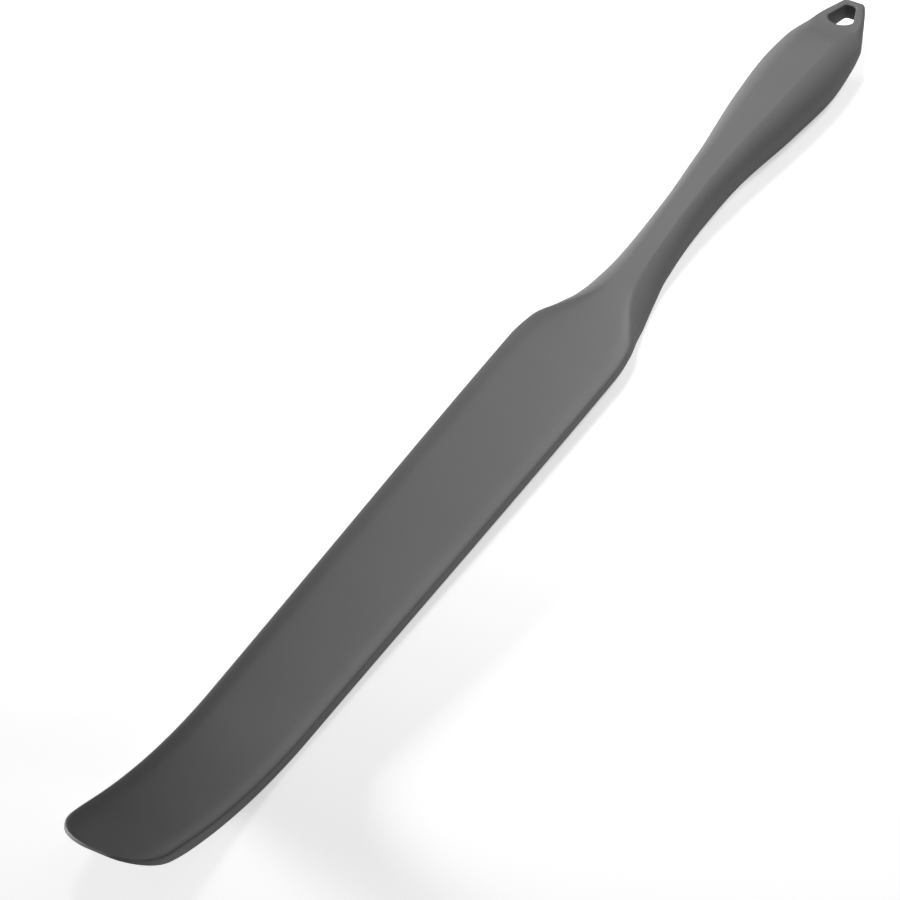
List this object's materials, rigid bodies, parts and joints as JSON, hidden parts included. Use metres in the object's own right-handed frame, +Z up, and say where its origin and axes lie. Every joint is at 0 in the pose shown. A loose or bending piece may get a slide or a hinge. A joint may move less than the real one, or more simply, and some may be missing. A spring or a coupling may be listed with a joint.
{
  "type": "blender spatula",
  "caption": "Slim silicone spatula for scraping out blender jugs: a thin blade with an upturned tip, a waisted neck, a full grip and a flat hang loop, over a steel spine and a nylon core",
  "frame": {"origin": "middle of the bottom of the bounding box, on the surface that the spatula lies on with its dished face up", "axes": "+X from the blade's tip to the hang loop, +Y across the blade, +Z up, the way the blade's dished face looks"},
  "size_m": [0.3368, 0.0274, 0.0148],
  "materials": {
    "silicone": "matt dark grey food-grade silicone, fine and even",
    "spring_steel": "plain rolled spring steel",
    "glass_filled_nylon": "natural glass-filled nylon, as moulded"
  },
  "bodies": {
    "root": {"silicone_body": "silicone", "spine_strip": "spring_steel", "handle_core": "glass_filled_nylon"}
  },
  "joints": []
}
